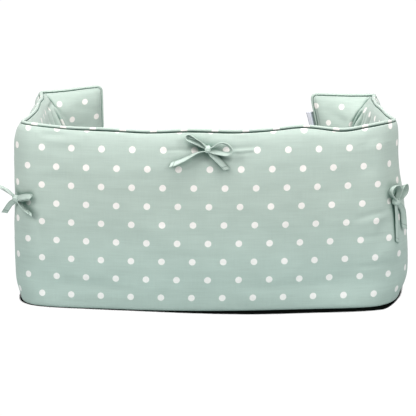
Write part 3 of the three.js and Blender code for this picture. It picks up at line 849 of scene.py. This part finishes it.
TIE_PROFILE = [  # across from the middle, and half the thickness there, as shares
    (-1.0, 0.45), (-0.97, 0.85), (-0.88, 0.95), (-0.77, 0.8), (-0.66, 0.9), (-0.3, 0.84), (0.0, 0.8),
    (0.3, 0.84), (0.66, 0.9), (0.77, 0.8), (0.88, 0.95), (0.97, 0.85), (1.0, 0.45),
]
STITCH_LINE = 0.77  # how far out the stitches run, as a share
TURNING = 0.16  # how far a strand turns to and fro along its length, in radians
CUPPING = 0.5  # how far its edges curl
HEM_THICKER = 1.5
HEM_STITCH, EDGE_STITCH = 0.55, 0.5  # how dark the stitches across the hem and along the edges lie
PINCH, PINCH_REACH = 0.28, 4  # how much narrower a strand is where it leaves its knot
HEM = 5.5  # length turned back at the end of a tail
TAIL_CUT = 2.5  # how far a tail's end is cut on the slant


def make_strand(row, steps=84):
    """One flat strand: its width starts in the given direction and is carried along the curve."""
    bow = BOWS[row["bow"]]
    tail = row["strand"].startswith("tail")
    spots = [np.array(on_face(bow, spot)) for spot in row["places"]]
    centre = catmull(spots, steps)
    travel = np.gradient(centre, axis=0)
    first = np.array(row["places"][0], float)
    axes = []
    for axis in range(3):
        moved = first.copy()
        moved[axis] += 0.5
        axes.append(unit(np.array(on_face(bow, moved)) - spots[0]))
    width = sum(axis * share for axis, share in zip(axes, row["across"]))
    run = np.concatenate([[0], np.cumsum(np.linalg.norm(np.diff(centre, axis=0), axis=1))])
    seed = len(row["bow"]) + 3.7 * len(row["strand"])
    rings, shade = [], []
    for step in range(steps + 1):
        along = unit(travel[step])
        width = unit(width - along * width.dot(along))
        turn = math.radians(row["twist"]) * step / steps
        turn += TURNING * noise.noise(Vector((run[step] / 11, seed, 0.0)))
        wide = width * math.cos(turn) + np.cross(along, width) * math.sin(turn)
        deep = np.cross(along, wide)
        left = run[-1] - run[step]
        hemmed = tail and left < HEM
        thick = TIE_THICKNESS / 2 * (HEM_THICKER if hemmed else 1.0)
        reach = TIE_WIDTH / 2 * (1 - PINCH * bell(run[step], PINCH_REACH))
        if not tail:
            reach *= 1 - PINCH * bell(left, PINCH_REACH)
        cup = CUPPING * noise.noise(Vector((run[step] / 8, seed, 4.0)))
        stitched = HEM_STITCH * float(bell(left - HEM - 0.4, 0.6)) if tail else 0.0
        ring = []
        for x, h in TIE_PROFILE + [(x, -h) for x, h in reversed(TIE_PROFILE)]:
            slant = along * x * TAIL_CUT * step / steps if tail else 0.0
            bent = deep * (cup * (x * x - 0.4) + h * thick)
            ring.append(centre[step] + wide * x * reach + bent + slant)
            shade.append(max(stitched, EDGE_STITCH * (abs(abs(x) - STITCH_LINE) < 0.01)))
        rings.append(ring)
    rings = np.array(rings)
    count = len(TIE_PROFILE)

    def cloth(i, k, strip):
        x = TIE_PROFILE[k][0] if k < count else TIE_PROFILE[2 * count - 1 - k][0]
        return run[i] * MM, x * TIE_WIDTH / 2 * MM

    obj = loft(f"tie_{row['bow']}_{row['strand']}", rings, cloth, shade=shade)
    face_outwards(obj)
    for polygon in obj.data.polygons[-2 * (count - 1):]:
        polygon.use_smooth = False
    return obj, run[-1]


def edit(obj):
    bpy.ops.object.select_all(action="DESELECT")
    obj.select_set(True)
    bpy.context.view_layer.objects.active = obj
    bpy.ops.object.mode_set(mode="EDIT")


def pick(shape, kind, chosen):
    """Select the vertices, edges or faces of the mesh in edit mode that chosen says."""
    bpy.ops.mesh.select_all(action="DESELECT")
    bpy.context.tool_settings.mesh_select_mode = (kind == "verts", kind == "edges", kind == "faces")
    for item in getattr(shape, kind):
        item.select_set(bool(chosen(item)))
    shape.select_flush_mode()


KNOT_ENDS = 0.62  # width of a knot's top and bottom against its middle
TURN_SHARE = 0.26  # half the width of the turn round it, as a share
TURN_TILT = 0.16
KNOT_SUNK = 0.4  # how far it presses into the pad


def make_knot(name, bow):
    """A pulled-tight knot: a block of cloth drawn in at its ends, with one turn of the tie round it."""
    bpy.ops.mesh.primitive_cube_add(size=1)
    obj = bpy.context.object
    obj.name = f"tie_{name}_knot"
    edit(obj)
    bpy.ops.mesh.select_all(action="SELECT")
    bpy.ops.transform.resize(value=(KNOT_WIDTH, KNOT_DEPTH, KNOT_HEIGHT))
    bpy.ops.mesh.subdivide(number_cuts=3)
    shape = bmesh.from_edit_mesh(obj.data)
    pick(shape, "verts", lambda v: abs(v.co.z) > 0.45 * KNOT_HEIGHT)
    bpy.ops.transform.resize(value=(KNOT_ENDS, KNOT_ENDS, 1))
    # One turn of the tie lies across the front of the knot.
    shape = bmesh.from_edit_mesh(obj.data)
    in_turn = lambda f: abs(f.calc_center_median().x) < TURN_SHARE * KNOT_WIDTH and abs(f.normal.z) < 0.5
    pick(shape, "faces", lambda f: in_turn(f) and f.normal.y < -0.5)
    bpy.ops.mesh.inset(thickness=0.35, depth=0.75)
    bpy.ops.transform.rotate(value=TURN_TILT, orient_axis="Y", center_override=(0, -KNOT_DEPTH / 2, 0))
    bpy.ops.object.mode_set(mode="OBJECT")
    rounding = obj.modifiers.new("round", "SUBSURF")
    rounding.levels = rounding.render_levels = 2
    bpy.ops.object.modifier_apply(modifier=rounding.name)
    bpy.ops.object.shade_smooth()
    coords = np.array([v.co[:] for v in obj.data.vertices])
    spread = 1 + 0.05 * cloudy(coords, 3.5, 4)[:, None]
    right, out, up = (coords * spread)[:, 0], -(coords * spread)[:, 1], coords[:, 2]
    out = out + KNOT_DEPTH / 2 - KNOT_SUNK
    points = on_face(bow, (right, up, out)) * MM
    for vertex, point in zip(obj.data.vertices, points):
        vertex.co = point
    layer = obj.data.uv_layers.active or obj.data.uv_layers.new()
    layer.name = "cloth"
    corners = np.array([loop.vertex_index for loop in obj.data.loops])
    layer.data.foreach_set("uv", (coords[corners][:, [0, 2]] * MM).ravel())
    face_outwards(obj)
    return obj


TAB_BEND_STEPS = 12
TAB_ROWS = 24


def make_tab():
    inner, outer = TAB["offset"], TAB["offset"] + 2 * TAB["layer"] + TAB["gap"]
    layer, reach, root = TAB["layer"], TAB["reach"], TAB["root"]
    bend = (outer - inner) / 2
    profile = [(root, inner)]
    for k in range(TAB_BEND_STEPS + 1):
        angle = -math.pi / 2 + math.pi * k / TAB_BEND_STEPS
        profile.append((reach - bend + bend * math.cos(angle), inner + bend + bend * math.sin(angle)))
    profile.append((root, outer))
    hole = bend - layer
    profile.append((root, outer - layer))
    for k in range(TAB_BEND_STEPS + 1):
        angle = math.pi / 2 - math.pi * k / TAB_BEND_STEPS
        profile.append((reach - bend + hole * math.cos(angle), inner + bend + hole * math.sin(angle)))
    profile.append((root, inner + layer))
    rings = []
    for step in range(TAB_ROWS + 1):
        drop = TAB["height"] * step / TAB_ROWS
        ring = []
        for along, side in profile:
            lower = TAB["slant"] * (along - root) / (reach - root)
            ring.append(place(RIGHT_END + along, side, TAB["top"] - drop - lower))
        rings.append(ring)
    rings = np.array(rings)
    run = [0]
    for (a, b), (c, d) in zip(profile, profile[1:]):
        run.append(run[-1] + math.hypot(c - a, d - b))

    def cloth(i, k, strip):
        return run[k] * MM, i / TAB_ROWS * TAB["height"] * MM

    obj = loft("ribbon_tab", rings, cloth, capped=False)
    shape = bmesh.new()
    shape.from_mesh(obj.data)
    shape.verts.ensure_lookup_table()
    count = len(profile)
    uv = shape.loops.layers.uv["cloth"]
    for start in (0, TAB_ROWS * count):
        for k in range(count // 2 - 1):
            corner = (k, k + 1, count - 2 - k, count - 1 - k)
            face = shape.faces.new([shape.verts[start + v] for v in corner])
            for loop, v in zip(face.loops, corner):
                loop[uv].uv = (run[v] * MM, (0 if start == 0 else TAB["height"]) * MM)
            face.smooth = False
    bmesh.ops.recalc_face_normals(shape, faces=shape.faces)
    shape.to_mesh(obj.data)
    shape.free()
    return obj


# -------- Building it all --------
OUTER_DOTS = dict(
    Across=0.0478, Drop=0.05855, First_Across=0.0272, First_Up=0.0226, Slant=0.025, Radius=0.00525)
cover = cloth_material("spotted_cotton", FABRIC, OUTER_DOTS, slubs=1.25, bump=0.3)
BINDING_DOTS = dict(OUTER_DOTS, Across=0.047, First_Across=0.0142, First_Up=0.0112, Slant=0.0)
RIBBON = (0.62, 0.61, 0.67, 1)
RIBBON_STRIPES = [
    (0.0040, 0.0084, (0.8, 0.84, 0.86, 1)), (0.0084, 0.0101, (0.36, 0.37, 0.44, 1)),
    (0.0101, 0.0136, (0.8, 0.8, 0.9, 1)), (0.0184, 0.0226, (0.4, 0.4, 0.46, 1)),
]
bound = cloth_material("piping_cotton", FABRIC, BINDING_DOTS, bump=0.2)
# Painted light: the ties are the pad's cotton painted 7% lighter, with less of the painted close shade.
tie_cloth = cloth_material("tie_cotton", tuple(1.07 * c for c in FABRIC[:3]) + (1,), bump=0.2, closeness=0.5)
ribbon_cloth = cloth_material("tab_ribbon", RIBBON, None, slubs=0.3, stripes=RIBBON_STRIPES)

pad = make_pad()
pad.data.materials.append(cover)
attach(pad, "root")
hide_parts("pad")

piping = make_piping()
piping.data.materials.append(bound)
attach(piping, "root")
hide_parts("piping")

for row in STRANDS:
    strand, length = make_strand(row)
    strand.data.materials.append(tie_cloth)
    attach(strand, "root")
    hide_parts(f"bow_{row['bow']}_{row['strand']}")
for name, bow in BOWS.items():
    knot = make_knot(name, bow)
    knot.data.materials.append(tie_cloth)
    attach(knot, "root")
    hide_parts(f"bow_{name}_knot")

tab = make_tab()
tab.data.materials.append(ribbon_cloth)
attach(tab, "root")
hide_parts("side_tab")

# -------- Floor, light and camera --------
CONTACT_REACH = 0.022  # how far from the pad the table is shaded
CONTACT_EDGE, CONTACT_SOFT = 0.55, 0.04  # where the painted contact shadow ends, and how softly
CONTACT_RAMPS = [  # where the line grows wider or, below 0, narrower, along x (0) or y (1)
    dict(axis=0, start=-0.15, stop=0.1, wider=0.38),
    dict(axis=0, start=0.278, stop=0.315, wider=-0.48),
    dict(axis=1, start=0.03, stop=0.1, wider=-0.3),
]


def table_material():
    """A white table that glows evenly towards the camera, so that only the painted shadow of contact shows on
    it.
    """
    material = bpy.data.materials.new("white_table")
    material.use_nodes = True
    b = Bench(material.node_tree)
    shader = material.node_tree.nodes["Principled BSDF"]
    shader.inputs["Base Color"].default_value = (0.37, 0.42, 0.42, 1)
    shader.inputs["Roughness"].default_value = 0.9
    closed = b.add("ShaderNodeAmbientOcclusion", samples=48)
    closed.inputs["Distance"].default_value = CONTACT_REACH
    spot = b.split(b.add("ShaderNodeTexCoord").outputs["Object"])
    edge = CONTACT_EDGE
    for row in CONTACT_RAMPS:
        grown = b.ramp(spot[row["axis"]], row["start"], row["stop"], 0.0, row["wider"])
        edge = b.math("ADD", edge, grown)
    seen = b.ramp(closed.outputs["AO"], b.math("SUBTRACT", edge, CONTACT_SOFT), edge)
    glow = b.add("ShaderNodeEmission")
    b.put(glow.inputs["Color"], b.mix(seen, (0.003, 0.004, 0.0035, 1), (1, 1, 1, 1)))
    glow.inputs["Strength"].default_value = 1.04
    either = b.add("ShaderNodeMixShader")
    b.put(either.inputs[0], b.add("ShaderNodeLightPath").outputs["Is Camera Ray"])
    b.put(either.inputs[1], shader.outputs[0])
    b.put(either.inputs[2], glow.outputs[0])
    b.put(material.node_tree.nodes["Material Output"].inputs[0], either.outputs[0])
    return material


bpy.ops.mesh.primitive_plane_add(size=40, location=(0, 8, 0))
floor = bpy.context.object
floor.name = "floor"
floor.data.materials.append(table_material())

world = bpy.data.worlds.new("studio")
bpy.context.scene.world = world
world.use_nodes = True
world.node_tree.nodes["Background"].inputs[0].default_value = (1, 1, 1, 1)
world.node_tree.nodes["Background"].inputs[1].default_value = 0.54

LIT_SPOT = Vector((0, 0.15, 0.12))  # where the lamps point
for name, where, size, energy in (
    ("top_softbox", (0.0, -0.12, 1.5), 0.8, 19),
    ("left_softbox", (-1.25, -1.05, 1.3), 0.5, 14),
    ("right_softbox", (1.25, -1.05, 1.3), 0.5, 12),
):
    lamp = bpy.data.lights.new(name, "AREA")
    lamp.shape = "SQUARE"
    lamp.size = size
    lamp.energy = energy
    holder = bpy.data.objects.new(name, lamp)
    holder.location = where
    aim = LIT_SPOT - Vector(where)
    holder.rotation_euler = aim.to_track_quat("-Z", "Y").to_euler()
    bpy.context.collection.objects.link(holder)

CAMERA_PLACE = (0.0026, -1.755, 0.5818)
CAMERA_TILT = 13.39  # degrees down from level
lens = bpy.data.cameras.new("camera")
lens.lens = 100.77
lens.sensor_width = 36
lens.clip_end = 100
camera = bpy.data.objects.new("camera", lens)
camera.location = CAMERA_PLACE
camera.rotation_euler = (math.radians(90 - CAMERA_TILT), 0, 0)
bpy.context.collection.objects.link(camera)
bpy.context.scene.camera = camera
bpy.context.scene.view_settings.view_transform = "Standard"
